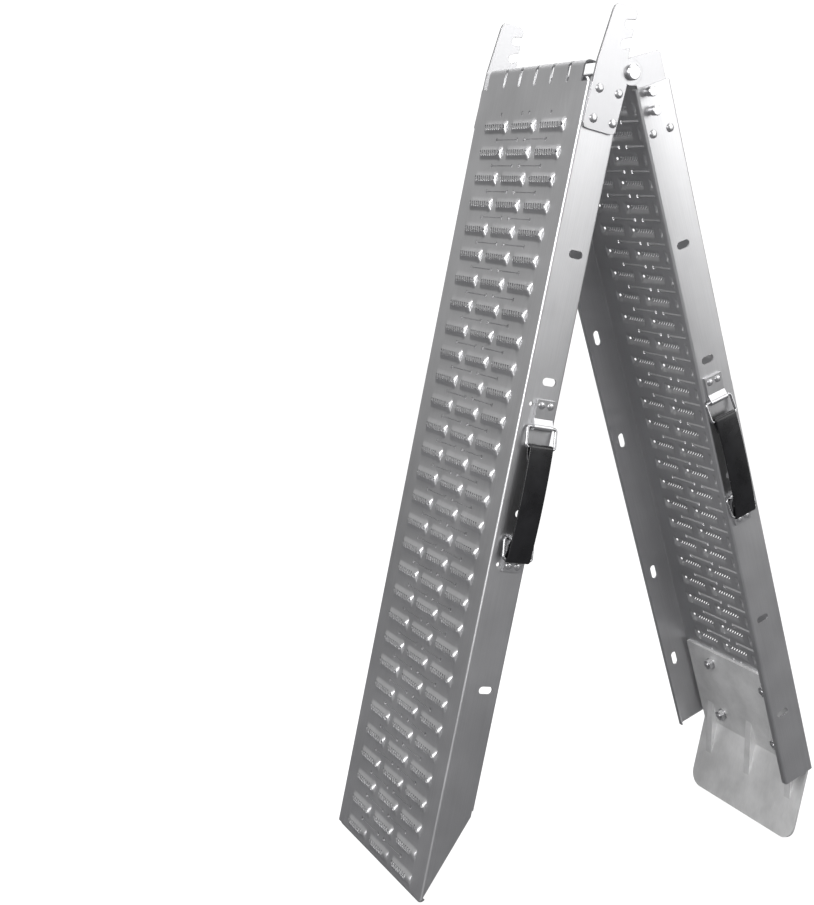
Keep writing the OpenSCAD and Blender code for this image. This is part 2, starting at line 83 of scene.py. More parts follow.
class Mesh:
    """Points, faces and texture points gathered in a half's own millimetres."""

    def __init__(self):
        self.v, self.f, self.uv = [], [], []

    def add(self, verts, faces, uvs=None):
        base = len(self.v)
        self.v += [tuple(p) for p in verts]
        self.uv += [tuple(p) for p in (uvs if uvs is not None else [(q[0], q[1]) for q in verts])]
        self.f += [tuple(base + i for i in face) for face in faces]

    def grid(self, rows, uvs=None, keep=None, flip=False):
        """rows is a list of equal rows of points; flip turns the faces over."""
        m = len(rows[0])
        faces = []
        for i in range(len(rows) - 1):
            for j in range(m - 1):
                if keep is None or keep(i, j):
                    a = i * m + j
                    face = (a, a + m, a + m + 1, a + 1)
                    faces.append(face[::-1] if flip else face)
        self.add([p for r in rows for p in r], faces, None if uvs is None else [p for r in uvs for p in r])


def finish_mesh(name, half, mesh, material, body=None, thickness=0.0, weld=0.02, angle=38, replaces=()):
    """Welds a mesh, gives it thickness, and hands it to its body in place of the named CAD node."""
    me = bpy.data.meshes.new(name)
    pts = [half.at(*p) for p in mesh.v]
    faces = [tuple(reversed(f)) if half.flip else f for f in mesh.f]
    me.from_pydata(pts, [], faces)
    layer = me.uv_layers.new(name="UVMap")
    for loop in me.loops:
        u = mesh.uv[loop.vertex_index]
        layer.data[loop.index].uv = (u[0] / UV_UNIT, u[1] / UV_UNIT)
    bm = bmesh.new()
    bm.from_mesh(me)
    bmesh.ops.remove_doubles(bm, verts=bm.verts, dist=weld / 1000)
    bmesh.ops.delete(bm, geom=[f for f in bm.faces if f.calc_area() < SLIVER_M2], context="FACES")
    loose = [v for v in bm.verts if not v.link_faces]
    bmesh.ops.delete(bm, geom=loose, context="VERTS")
    bm.to_mesh(me)
    bm.free()
    ob = bpy.data.objects.new(name, me)
    bpy.context.scene.collection.objects.link(ob)
    if thickness:
        mod = ob.modifiers.new("sheet", "SOLIDIFY")
        mod.thickness = thickness / 1000
        mod.offset = -1
        mod.use_even_offset = False
        mod.use_quality_normals = True
        deps = bpy.context.evaluated_depsgraph_get()
        done = bpy.data.meshes.new_from_object(ob.evaluated_get(deps))
        ob.modifiers.clear()
        ob.data = done
    ob.data.shade_smooth()
    ob.data.set_sharp_from_angle(angle=math.radians(angle))
    ob.data.materials.clear()
    ob.data.materials.append(material)
    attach(ob, body or half.body)
    if replaces:
        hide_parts(*replaces)
    return ob


def inside(points, loop):
    """Which points lie inside a closed loop, by even crossings."""
    hit = np.zeros(len(points), bool)
    a = np.array(loop)
    b = np.roll(a, -1, axis=0)
    for (x0, y0), (x1, y1) in zip(a, b):
        if y0 == y1:
            continue
        cross = (points[:, 1] > min(y0, y1)) & (points[:, 1] <= max(y0, y1))
        x = x0 + (points[:, 1] - y0) * (x1 - x0) / (y1 - y0)
        hit ^= cross & (points[:, 0] < x)
    return hit


def cut_sheet(outer, holes):
    """Triangles of a flat sheet with holes, as 2-D points and faces."""
    pts, edges = [], []
    for loop in [outer] + list(holes):
        base = len(pts)
        pts += loop
        edges += [(base + i, base + (i + 1) % len(loop)) for i in range(len(loop))]
    out = delaunay_2d_cdt([Vector(p) for p in pts], edges, [], 0, 1e-4, False)
    v = np.array([tuple(p) for p in out[0]])
    f = np.array([tuple(t) for t in out[2]])
    mid = v[f].mean(axis=1)
    keep = inside(mid, outer)
    for loop in holes:
        box = np.array(loop)
        lo, hi = box.min(axis=0), box.max(axis=0)
        near = np.where(((mid >= lo) & (mid <= hi)).all(axis=1) & keep)[0]
        if len(near):
            keep[near[inside(mid[near], loop)]] = False
    return [tuple(p) for p in v], [tuple(t) for t in f[keep]]


def wound(faces, pts, positive=True):
    """The same faces, all turning the same way round."""
    res = []
    for f in faces:
        a, b, c = (pts[i] for i in f[:3])
        area = (b[0] - a[0]) * (c[1] - a[1]) - (b[1] - a[1]) * (c[0] - a[0])
        res.append(f if (area > 0) == positive else tuple(reversed(f)))
    return res


def stadium(cx, cy, length, width, along_x, n=10):
    """A slot with round ends."""
    r, h = width / 2, (length - width) / 2
    pts = []
    for k in range(n + 1):
        a = -math.pi / 2 + math.pi * k / n
        pts.append((h + r * math.cos(a), r * math.sin(a)))
    for k in range(n + 1):
        a = math.pi / 2 + math.pi * k / n
        pts.append((-h + r * math.cos(a), r * math.sin(a)))
    return [(cx + p[0], cy + p[1]) if along_x else (cx - p[1], cy + p[0]) for p in pts]


def disc(cx, cy, r, n=20):
    return [(cx + r * math.cos(2 * math.pi * k / n), cy + r * math.sin(2 * math.pi * k / n)) for k in range(n)]


# ---------------------------------------------------------------- the louvred channels
# where the louvres and the slits between them sit
LOUVRE_COLUMNS = (-60, 0, 60)
SLIT_COLUMNS = (-30, 30)
TOE_ROWS, TOE_FIRST_SLIT, TOE_HOLED_ROWS = 30, 52, 28
LIP_ROWS, LIP_FIRST_LOUVRE = 26, 51.6
LIP_BOLT_S, LIP_BOLT_Y, LIP_BOLT_R = (845, 932), (-56, 56), 4.0

# one louvre: x along the half, y across it, both from the louvre's middle
HOOD_X = [-9.5, -8.2, -6.6, -5.0, -3.3, 0, 3.3, 5.0, 6.6, 8.2, 9.5]
HOOD_HALF_X, HOOD_HALF_Y = HOOD_X[-1], 25
PATCH_HALF_Y, SKIRT_Y = 26, 24.6
NEAR_ROUND, FAR_ROUND = 6.5, 7.0
HOOD_H, HOOD_FALL = 3.7, 0.5
SLOTS = [-14.5 + 4.8 * k for k in range(8)]
SLOT_HALF_W, SLOT_REACH, SLOT_LEAN = 1.3, 3.3, 2.2
BEFORE_SLOTS = -16.8
TOOTH_LIFT = 0.35
HOLE_Y, HOLE_R = -21.0, 2.7
HOLE_CORNER = 0.71
BULB_REACH, BULB_LIFT, BULB_BLUNT = 4.5, 0.8, 0.4

# one slit: two eyes joined by a creased groove
SLIT_REACH, SLIT_HALF_W = 22.5, 0.55
EYE_HALF_S, EYE_HALF_Y, EYE_CHAMFER = 2.3, 1.5, 0.8
GROOVE_DEPTH = 1.3

# the hinge comb, turned down over the hinge end
COMB_EDGE = 98.0
COMB_TO = 21.0
COMB_R = 8.0
COMB_DROP = 6
COMB_PITCH, COMB_SHIFT = 32.7, 5.3
COMB_SLOT_HALF = 2.5
COMB_SLOT_TIP = ((2, 2.5), (0.6, 1.6), (0, 0))
COMB_FACE = {True: -4.0, False: 5.0}
FINGER_MARGIN = 3

# the rolled nose of the toe half
NOSE_HALF_Y, NOSE_CORNER_Y, NOSE_BACK = 104, 104.5, 2
NOSE_R, NOSE_TURN = 6, 150

# the flanges; their free edge is turned inward
FLANGE_H, BEVEL_RUN = 48, 110
FLANGE_FROM = {True: 16.0, False: 20.0}
FLANGE_LOW, HEM_R, HEM_INNER = 6.0, 3, 8
TOE_HEM_END = 846.0
FLANGE_SLOTS = {True: (203, 345, 495, 701), False: (203, 345, 495, 701, 845)}
NEAR_SLOT, FAR_SLOT = (18, 9), (20, 9)
MID_Z = DECK - 29.5
SPARE_HOLES, SPARE_Z, SPARE_R = (371.5, 554.5), 39.5, 2.5

# stations down the half, so long edges of neighbouring sheets share their points
MARKS = [COMB_TO] + [float(s) for s in range(50, 901, 50)]
HEM_MARKS = [float(s) for s in range(100, 801, 50)]


def hood_columns():
    cols = [-PATCH_HALF_Y, -HOOD_HALF_Y, -SKIRT_Y, HOLE_Y - HOLE_R, HOLE_Y, HOLE_Y + HOLE_R, BEFORE_SLOTS]
    for c in SLOTS:
        cols += [c - SLOT_HALF_W, c + SLOT_HALF_W]
    return cols + [21.8, 23.6, SKIRT_Y, HOOD_HALF_Y, PATCH_HALF_Y]


def hood_height(x, y, bulb):
    """A bell across the louvre, rounded off at both ends and swollen round the bulb's hole."""
    if abs(y) >= HOOD_HALF_Y or abs(x) >= HOOD_HALF_X:
        return 0.0
    near = math.sqrt(max(0.0, 1 - (max(0.0, NEAR_ROUND - HOOD_HALF_Y - y) / NEAR_ROUND) ** 2))
    far = math.sqrt(max(0.0, 1 - (max(0.0, y - HOOD_HALF_Y + FAR_ROUND) / FAR_ROUND) ** 2))
    bell = 0.5 + 0.5 * math.cos(math.pi * x / HOOD_HALF_X)
    swell = max(0.0, 1 - abs(y - HOLE_Y) / BULB_REACH) if bulb else 0.0
    crest = HOOD_H - HOOD_FALL * (y + HOOD_HALF_Y) / (2 * HOOD_HALF_Y) + BULB_LIFT * swell
    return crest * near * far * bell ** (1.0 - BULB_BLUNT * swell)


def louvre_loop(cx, cy, fx, fy):
    """Outline of the patch a louvre takes from the deck, with the patch's own edge points."""
    cols, xs = hood_columns(), HOOD_X
    loop = [(xs[0], y) for y in cols]
    loop += [(x, cols[-1]) for x in xs[1:]]
    loop += [(xs[-1], y) for y in reversed(cols[:-1])]
    loop += [(x, cols[0]) for x in reversed(xs[1:-1])]
    return [(cx + fx * x, cy + fy * y) for x, y in loop]


def louvre_patch(mesh, cx, cy, fx, fy, bulb):
    """A mound with slanted slots across its crest, each with one edge stood up as a tooth."""
    cols = hood_columns()
    first = cols.index(BEFORE_SLOTS) + 1
    last = first + 2 * len(SLOTS)
    eye = [cols.index(HOLE_Y) + k for k in (-1, 0, 1)]
    rows = []
    for x in HOOD_X:
        row = []
        for j, y in enumerate(cols):
            px, py, lift = x, y, 0.0
            if first <= j < last:
                fade = 1 - max(0.0, abs(x) - SLOT_REACH) / (HOOD_HALF_X - SLOT_REACH)
                py = y - SLOT_LEAN * max(-1.0, min(1.0, x / SLOT_REACH)) * fade
                if x == 0:
                    lift = TOOTH_LIFT if (j - first) % 2 == 0 else -TOOTH_LIFT
            if bulb and j in eye and abs(x) <= SLOT_REACH:
                px = math.copysign(HOLE_R, x) if x else 0.0
                if j != eye[1] and x != 0:
                    px = math.copysign(HOLE_R * HOLE_CORNER, x)
                    py = HOLE_Y + math.copysign(HOLE_R * HOLE_CORNER, y - HOLE_Y)
            row.append((cx + fx * px, cy + fy * py, DECK + hood_height(px, py, bulb) + lift))
        rows.append(row)
    mid = HOOD_X.index(0)

    def keep(i, j):
        if i not in (mid - 1, mid):
            return True
        if first <= j < last and (j - first) % 2 == 0:
            return False
        return not (bulb and eye[0] <= j < eye[2])

    mesh.grid(rows, keep=keep, flip=fx * fy < 0)


def slit_loop(s, y, full):
    """Two small upright holes, joined by a slit when full is true."""
    ends = []
    for sign in (-1, 1):
        cy = y + sign * SLIT_REACH
        inner, outer = EYE_HALF_S - EYE_CHAMFER, EYE_HALF_Y - EYE_CHAMFER
        ends.append([(s - EYE_HALF_S, cy - outer), (s - EYE_HALF_S, cy + outer),
                     (s - inner, cy + EYE_HALF_Y), (s + inner, cy + EYE_HALF_Y),
                     (s + EYE_HALF_S, cy + outer), (s + EYE_HALF_S, cy - outer),
                     (s + inner, cy - EYE_HALF_Y), (s - inner, cy - EYE_HALF_Y)])
    if not full:
        return ends
    a, b = ends
    reach = SLIT_REACH - EYE_HALF_Y
    # a lies at lower y: go round it, cross, go round b, come back
    return [[(s - SLIT_HALF_W, y - reach), a[2], a[1], a[0], a[7], a[6], a[5], a[4], a[3],
             (s + SLIT_HALF_W, y - reach), (s + SLIT_HALF_W, y + reach),
             b[6], b[5], b[4], b[3], b[2], b[1], b[0], b[7], (s - SLIT_HALF_W, y + reach)]]


def slit_groove(mesh, s, y):
    """The creased floor between a slit's two eyes."""
    reach = SLIT_REACH - EYE_HALF_Y
    mesh.grid([[(s - SLIT_HALF_W, y + t, DECK), (s, y + t, DECK - GROOVE_DEPTH), (s + SLIT_HALF_W, y + t, DECK)]
               for t in (reach, -reach)])


def deck_layout(toe):
    """Louvres as (s, y, flip along, flip across, holed) and slits as (s, y, full)."""
    louvres, slits = [], []
    if toe:
        for k in range(TOE_ROWS):
            s = TOE_FIRST_SLIT + PITCH * k
            slits += [(s, y, k > 0) for y in SLIT_COLUMNS]
            for y in LOUVRE_COLUMNS:
                holed = k < TOE_HOLED_ROWS or (k == TOE_HOLED_ROWS and y > LOUVRE_COLUMNS[0])
                louvres.append((s + PITCH / 2, y, 1, 1, holed))
    else:
        for k in range(LIP_ROWS):
            s = LIP_FIRST_LOUVRE + PITCH * k
            louvres += [(s, y, 1, -1, True) for y in LOUVRE_COLUMNS]
            slits += [(s + PITCH / 2, y, k < LIP_ROWS - 1) for y in SLIT_COLUMNS]
    return louvres, slits


def deck_outline(toe, side, end, base, slots):
    """The deck's edge, hinge end first."""
    outer = [(COMB_TO, -side), (COMB_TO, -COMB_EDGE), (base, -COMB_EDGE)]
    for c in slots:
        outer.append((base, c - COMB_SLOT_HALF))
        outer += [(COMB_TO - back, c - y) for back, y in COMB_SLOT_TIP]
        outer += [(COMB_TO - back, c + y) for back, y in reversed(COMB_SLOT_TIP[:-1])]
        outer.append((base, c + COMB_SLOT_HALF))
    outer += [(base, COMB_EDGE), (COMB_TO, COMB_EDGE), (COMB_TO, side)]
    outer += [(m, side) for m in MARKS[1:]]
    outer.append((end, side))
    if toe:
        outer += [(end, NOSE_CORNER_Y), (end - NOSE_BACK, NOSE_HALF_Y),
                  (end - NOSE_BACK, -NOSE_HALF_Y), (end, -NOSE_CORNER_Y)]
    outer.append((end, -side))
    return outer + [(m, -side) for m in reversed(MARKS[1:])]


def comb(mesh, face, base, slots):
    """Six fingers turned down over the hinge end."""
    edges = [-COMB_EDGE] + [v for c in slots for v in (c - COMB_SLOT_HALF, c + COMB_SLOT_HALF)] + [COMB_EDGE]
    for a, b in zip(edges[::2], edges[1::2]):
        ys = [a, a + FINGER_MARGIN, (a + b) / 2, b - FINGER_MARGIN, b]
        rows = [[(base, y, DECK) for y in ys]]
        for k in range(1, 9):
            t = math.pi / 2 * k / 8
            rows.append([(base - COMB_R * math.sin(t), y, DECK - COMB_R + COMB_R * math.cos(t)) for y in ys])
        rows.append([(face, y, DECK - COMB_R - COMB_DROP) for y in ys])
        mesh.grid(rows[::-1])


def nose(mesh, end):
    """The toe half's nose, rolled under."""
    rows = []
    for k in range(13):
        t = math.radians(90 - NOSE_TURN * k / 12)
        rows.append([(end - NOSE_BACK + NOSE_R * math.cos(t), y, DECK - NOSE_R + NOSE_R * math.sin(t))
                     for y in (-NOSE_HALF_Y, NOSE_HALF_Y)])
    mesh.grid(rows)


def bevel_at(z):
    """How far down the toe half its flanges reach at depth z."""
    return TOE_END - (DECK - z) * BEVEL_RUN / FLANGE_H


def flange_bend(mesh, toe, side, end, sign):
    """The quarter round between deck and flange."""
    rows, uvs = [], []
    for s in MARKS + [None]:
        row, uv = [], []
        for k in range(7):
            t = math.pi / 2 * k / 6
            z = DECK - BEND + BEND * math.cos(t)
            u = s if s is not None else (bevel_at(z) if toe else end)
            row.append((u, sign * (side + BEND * math.sin(t)), z))
            uv.append((u, sign * (side + BEND * t)))
        rows.append(row)
        uvs.append(uv)
    mesh.grid(rows, uvs, flip=sign < 0)


def flange_flat(mesh, toe, w, end, hem_end, sign):
    """The flat of a flange, with its slots and the near side's two spare holes."""
    low, high, start, near = FLANGE_LOW, DECK - BEND, FLANGE_FROM[toe], sign < 0
    run = [(start, low)] + [(m, low) for m in HEM_MARKS]
    run += [(hem_end, low), (bevel_at(low), low), (bevel_at(high), high)] if toe else [(end, low), (end, high)]
    run += [(m, high) for m in reversed(MARKS)] + [(start, high)]
    cuts = [stadium(s, MID_Z, *(NEAR_SLOT if near else FAR_SLOT), not near) for s in FLANGE_SLOTS[toe]]
    if near and toe:
        cuts += [disc(s, SPARE_Z, SPARE_R) for s in SPARE_HOLES]
    pts, faces = cut_sheet(run, cuts)
    mesh.add([(p[0], sign * w, p[1]) for p in pts], wound(faces, pts, near),
             [(p[0], sign * (w + DECK - p[1])) for p in pts])


def flange_hem(mesh, toe, w, hem_end, sign):
    """The flange's free edge, turned inward."""
    rows, uvs = [], []
    for s in [FLANGE_FROM[toe]] + HEM_MARKS + [hem_end]:
        row, uv = [], []
        for k in range(6):
            t = math.pi / 2 * k / 5
            row.append((s, sign * (w - HEM_R + HEM_R * math.cos(t)), FLANGE_LOW - HEM_R * math.sin(t)))
            uv.append((s, sign * (w + DECK - FLANGE_LOW + HEM_R * t)))
        row.append((s, sign * (w - HEM_INNER), FLANGE_LOW - HEM_R))
        uv.append((s, sign * (w + DECK + 4)))
        rows.append(row)
        uvs.append(uv)
    mesh.grid(rows, uvs, flip=sign < 0)


def channel(name, half, toe, material, replaced):
    """One pressed channel: louvred deck, hinge comb, nose on the toe half, and two flanges."""
    w, side = half.w, half.w - BEND
    end = TOE_END if toe else LIP_END
    face = COMB_FACE[toe]
    base = face + COMB_R
    shift = -COMB_SHIFT if toe else COMB_SHIFT
    slots = [COMB_PITCH * i + shift for i in (-2, -1, 0, 1, 2)]
    louvres, slits = deck_layout(toe)
    mesh = Mesh()
    for s, y, full in slits:
        if full:
            slit_groove(mesh, s, y)
    holes = [loop for slit in slits for loop in slit_loop(*slit)]
    if not toe:
        holes += [disc(s, y, LIP_BOLT_R) for s in LIP_BOLT_S for y in LIP_BOLT_Y]
    holes += [louvre_loop(*louvre[:4]) for louvre in louvres]
    pts, faces = cut_sheet(deck_outline(toe, side, end, base, slots), holes)
    mesh.add([(p[0], p[1], DECK) for p in pts], wound(faces, pts))
    for louvre in louvres:
        louvre_patch(mesh, *louvre)
    comb(mesh, face, base, slots)
    if toe:
        nose(mesh, end)
    hem_end = TOE_HEM_END if toe else end
    for sign in (-1, 1):
        flange_bend(mesh, toe, side, end, sign)
        flange_flat(mesh, toe, w, end, hem_end, sign)
        flange_hem(mesh, toe, w, hem_end, sign)
    return finish_mesh(name, half, mesh, material, thickness=SHEET, replaces=(replaced,))


# ---------------------------------------------------------------- the straps
RING_PINS = (395.5, 523.0)
RING_SWING = math.radians(12)
RING_REACH, PIN_OUT = 23, 3.88
BAND_TURN, BAND_BOW, BAND_BOW_EASE = 2.88, 2.4, 0.9
TAIL, TAIL_GAP, TAIL_EASE = 15, 2.2, 1.3
TAIL_T, TURN_T, MIDDLE_T = 1.9, 1.95, 1.0
BAND_HALF, BAND_EDGE = 14.3, 1.2


def strap(name, half, body, replaced):
    """A flat band folded back round each ring's bar, its edges rounded."""
    first, last = [p + RING_REACH * math.cos(RING_SWING) for p in RING_PINS]
    out = half.w + PIN_OUT + RING_REACH * math.sin(RING_SWING)
    run = last - first

    def face(t):
        return out + BAND_TURN + BAND_BOW * math.sin(math.pi * t) ** BAND_BOW_EASE

    def tail(s, t):
        rise = face(t) - TAIL_GAP - out + BAND_TURN
        return out - BAND_TURN + rise * (s / TAIL) ** TAIL_EASE

    def turn_round(bar, sign):
        angles = [math.pi * k / 9 for k in range(1, 9)]
        return [(bar + sign * BAND_TURN * math.sin(a), out + sign * BAND_TURN * math.cos(a), TURN_T)
                for a in angles]

    # the middle line of the band, as distance down the half, distance out and thickness
    path = [(first + s, tail(s, s / run), TAIL_T) for s in (TAIL * (1 - k / 5) for k in range(6))]
    path += turn_round(first, -1)
    for k in range(25):
        t = k / 24
        path.append((first + run * t, face(t), TURN_T + MIDDLE_T * min(1.0, 6 * t, 6 - 6 * t)))
    path += turn_round(last, 1)
    path += [(last - s, tail(s, 1 - s / run), TAIL_T) for s in (TAIL * k / 5 for k in range(6))]

    section = []
    for side, start in ((1, -90), (-1, 90)):
        for k in range(7):
            a = math.radians(start + 30 * k)
            section.append((side * BAND_HALF + BAND_EDGE * math.cos(a), 0.5 * math.sin(a)))
    rings = []
    for i, (s, y, thick) in enumerate(path):
        a, b = path[max(0, i - 1)], path[min(len(path) - 1, i + 1)]
        tx, ty = b[0] - a[0], b[1] - a[1]
        size = math.hypot(tx, ty)
        nx, ny = -ty / size, tx / size
        rings.append([(s + nx * d * thick, -(y + ny * d * thick), MID_Z + z) for z, d in section])
    n = len(section)
    faces = [(i * n + j, i * n + (j + 1) % n, (i + 1) * n + (j + 1) % n, (i + 1) * n + j)
             for i in range(len(rings) - 1) for j in range(n)]
    faces += [tuple(reversed(range(n))), tuple(range((len(rings) - 1) * n, len(rings) * n))]
    verts = [p for r in rings for p in r]
    mesh = Mesh()
    mesh.add(verts, faces, [(p[0], p[2]) for p in verts])
    return finish_mesh(name, half, mesh, M_STRAP, body=body, weld=0.001, angle=50,
                       replaces=(replaced,))


# ---------------------------------------------------------------- materials
def nodes_of(name):
    """A new material with its node tree and principled shader."""
    mat = bpy.data.materials.new(name)
    mat.use_nodes = True
    nt = mat.node_tree
    nt.nodes.clear()
    out = nt.nodes.new("ShaderNodeOutputMaterial")
    bsdf = nt.nodes.new("ShaderNodeBsdfPrincipled")
    nt.links.new(bsdf.outputs["BSDF"], out.inputs["Surface"])
    return mat, nt, bsdf


def node(nt, kind, **values):
    """A node with its inputs (in_Name) and settings filled in."""
    n = nt.nodes.new(kind)
    for key, value in values.items():
        if key.startswith("in_"):
            n.inputs[key[3:].replace("_", " ")].default_value = value
        else:
            setattr(n, key, value)
    return n


def ramp(nt, source, stops):
    r = nt.nodes.new("ShaderNodeValToRGB")
    while len(r.color_ramp.elements) < len(stops):
        r.color_ramp.elements.new(0.5)
    for element, (pos, value) in zip(r.color_ramp.elements, stops):
        element.position = pos
        element.color = (value, value, value, 1) if not isinstance(value, tuple) else (*value, 1)
    nt.links.new(source, r.inputs["Fac"])
    return r.outputs["Color"]


def multiply_add(nt, source, factor, plus):
    """source * factor + plus, where plus is a number or another socket."""
    n = node(nt, "ShaderNodeMath", operation="MULTIPLY_ADD")
    nt.links.new(source, n.inputs[0])
    n.inputs[1].default_value = factor
    if isinstance(plus, float):
        n.inputs[2].default_value = plus
    else:
        nt.links.new(plus, n.inputs[2])
    return n.outputs[0]


STREAK_GRAIN = 90.0
STEEL_BUMP = 0.05


def steel(name, tone, rough, streak, use_uv=False, lean=0.0, wear=0.08, metallic=1.0, bevel=0.0):
    """Rolled or plated steel: long drawn streaks, soft blotches in sheen, fine grain in the bump."""
    mat, nt, bsdf = nodes_of(name)
    tex = nt.nodes.new("ShaderNodeTexCoord")
    mp = nt.nodes.new("ShaderNodeMapping")
    nt.links.new(tex.outputs["UV" if use_uv else "Object"], mp.inputs["Vector"])
    if use_uv:
        mp.inputs["Scale"].default_value = (0.9, STREAK_GRAIN, 1)
    else:
        mp.inputs["Rotation"].default_value = (0, lean, 0)
        mp.inputs["Scale"].default_value = (STREAK_GRAIN * 10, STREAK_GRAIN * 10, 9)
    lines = node(nt, "ShaderNodeTexNoise", in_Scale=1.0, in_Detail=5.0, in_Roughness=0.65)
    nt.links.new(mp.outputs["Vector"], lines.inputs["Vector"])
    blotch = node(nt, "ShaderNodeTexNoise", in_Scale=14.0, in_Detail=4.0, in_Roughness=0.55)
    nt.links.new(tex.outputs["Object"], blotch.inputs["Vector"])
    fine = node(nt, "ShaderNodeTexNoise", in_Scale=900.0, in_Detail=2.0)
    nt.links.new(tex.outputs["Object"], fine.inputs["Vector"])
    # tone
    mix = node(nt, "ShaderNodeMix", data_type="RGBA", blend_type="MULTIPLY")
    mix.inputs[0].default_value = 1.0
    mix.inputs[6].default_value = (*tone, 1)
    shade = ramp(nt, lines.outputs["Fac"], [(0.3, 1 - streak), (0.7, 1.0)])
    nt.links.new(shade, mix.inputs[7])
    mix2 = node(nt, "ShaderNodeMix", data_type="RGBA", blend_type="MULTIPLY")
    mix2.inputs[0].default_value = 1.0
    nt.links.new(mix.outputs[2], mix2.inputs[6])
    nt.links.new(ramp(nt, blotch.outputs["Fac"], [(0.35, 1 - wear), (0.65, 1.0)]), mix2.inputs[7])
    nt.links.new(mix2.outputs[2], bsdf.inputs["Base Color"])
    # sheen
    streaked = multiply_add(nt, lines.outputs["Fac"], 0.16, rough - 0.12)
    nt.links.new(multiply_add(nt, blotch.outputs["Fac"], 0.10, streaked), bsdf.inputs["Roughness"])
    bsdf.inputs["Metallic"].default_value = metallic
    # relief
    b = node(nt, "ShaderNodeBump", in_Strength=STEEL_BUMP, in_Distance=0.0004)
    nt.links.new(multiply_add(nt, lines.outputs["Fac"], 0.6, fine.outputs["Fac"]), b.inputs["Height"])
    if bevel:
        bv = node(nt, "ShaderNodeBevel", samples=4, in_Radius=bevel)
        nt.links.new(bv.outputs["Normal"], b.inputs["Normal"])
    nt.links.new(b.outputs["Normal"], bsdf.inputs["Normal"])
    return mat


def rubber(name):
    """Glossy black rubber with a fine grain."""
    mat, nt, bsdf = nodes_of(name)
    tex = nt.nodes.new("ShaderNodeTexCoord")
    n = node(nt, "ShaderNodeTexNoise", in_Scale=60.0, in_Detail=4.0)
    nt.links.new(tex.outputs["Object"], n.inputs["Vector"])
    f = node(nt, "ShaderNodeTexNoise", in_Scale=1400.0, in_Detail=2.0)
    nt.links.new(tex.outputs["Object"], f.inputs["Vector"])
    nt.links.new(ramp(nt, n.outputs["Fac"], [(0.3, (0.006, 0.006, 0.007)), (0.75, (0.014, 0.014, 0.016))]),
                 bsdf.inputs["Base Color"])
    nt.links.new(multiply_add(nt, n.outputs["Fac"], 0.16, 0.20), bsdf.inputs["Roughness"])
    bsdf.inputs["Specular IOR Level"].default_value = 0.5
    b = node(nt, "ShaderNodeBump", in_Strength=0.12, in_Distance=0.0003)
    nt.links.new(f.outputs["Fac"], b.inputs["Height"])
    nt.links.new(b.outputs["Normal"], bsdf.inputs["Normal"])
    return mat


M_SHEET = steel("galvanised sheet", (0.72, 0.72, 0.73), rough=0.40, streak=0.10, use_uv=True)
M_LIP = steel("lip plate steel", (0.95, 0.95, 0.95), rough=0.50, streak=0.08, lean=-0.44, wear=0.26,
              metallic=0.5, bevel=0.0006)
M_PLATE = steel("bright plate", (0.56, 0.56, 0.57), rough=0.38, streak=0.05, bevel=0.0007)
M_FAST = steel("plated fasteners", (0.70, 0.70, 0.71), rough=0.28, streak=0.03, bevel=0.0003)
M_BRKT = steel("bracket strip", (0.66, 0.66, 0.67), rough=0.34, streak=0.05, bevel=0.0004)
M_WIRE = steel("bright wire", (0.50, 0.50, 0.51), rough=0.24, streak=0.03)
M_STRAP = rubber("glossy black strap")

# the first match wins, and the empty name matches the rest
LOOKS = (("channel", M_SHEET), ("lip_plate", M_LIP), (("hook_plate", "hinge_plate"), M_PLATE),
         (("bracket_toe", "bracket_lip"), M_BRKT), ("ring", M_WIRE), ("strap", M_STRAP), ("", M_FAST))
for node_name, ob in frame["nodes"].items():
    look = next(material for start, material in LOOKS if node_name.startswith(start))
    for material_slot in ob.material_slots:
        material_slot.material = look

channel("toe_channel_sheet", TOE, True, M_SHEET, "channel_toe")
channel("lip_channel_sheet", LIP, False, M_SHEET, "channel_lip")
strap("toe_strap_band", TOE, "toe_strap", "strap_toe")
strap("lip_strap_band", LIP, "lip_strap", "strap_lip")

# ---------------------------------------------------------------- floor, light and camera
FLOOR_HALF = 6
FLOOR_GLOW, FLOOR_GLOW_SHARE = 1.2, 0.8
SKY_SEEN, SKY_LIGHT = 1.15, 0.42

floor = bpy.data.meshes.new("floor")
floor.from_pydata([(x * FLOOR_HALF, y * FLOOR_HALF, 0) for x, y in ((-1, -1), (1, -1), (1, 1), (-1, 1))],
                  [], [(0, 1, 2, 3)])
floor_ob = bpy.data.objects.new("floor", floor)
bpy.context.scene.collection.objects.link(floor_ob)
fmat, fnt, fb = nodes_of("pale floor")
ftex = fnt.nodes.new("ShaderNodeTexCoord")
fn = node(fnt, "ShaderNodeTexNoise", in_Scale=2.0, in_Detail=3.0)
fnt.links.new(ftex.outputs["Object"], fn.inputs["Vector"])
fnt.links.new(ramp(fnt, fn.outputs["Fac"], [(0.3, 0.92), (0.7, 0.95)]), fb.inputs["Base Color"])
fb.inputs["Roughness"].default_value = 0.9
# the camera sees a white sweep; the metal sees the darker room beyond it
dark = node(fnt, "ShaderNodeBsdfDiffuse", in_Color=(0.16, 0.16, 0.165, 1))
sight = fnt.nodes.new("ShaderNodeLightPath")
glow = node(fnt, "ShaderNodeEmission", in_Color=(1, 1, 1, 1), in_Strength=FLOOR_GLOW)
sweep = fnt.nodes.new("ShaderNodeMixShader")
sweep.inputs[0].default_value = FLOOR_GLOW_SHARE
fnt.links.new(fb.outputs[0], sweep.inputs[1])
fnt.links.new(glow.outputs[0], sweep.inputs[2])
pick = fnt.nodes.new("ShaderNodeMixShader")
fnt.links.new(sight.outputs["Is Camera Ray"], pick.inputs[0])
fnt.links.new(dark.outputs[0], pick.inputs[1])
fnt.links.new(sweep.outputs[0], pick.inputs[2])
fout = [n for n in fnt.nodes if n.type == "OUTPUT_MATERIAL"][0]
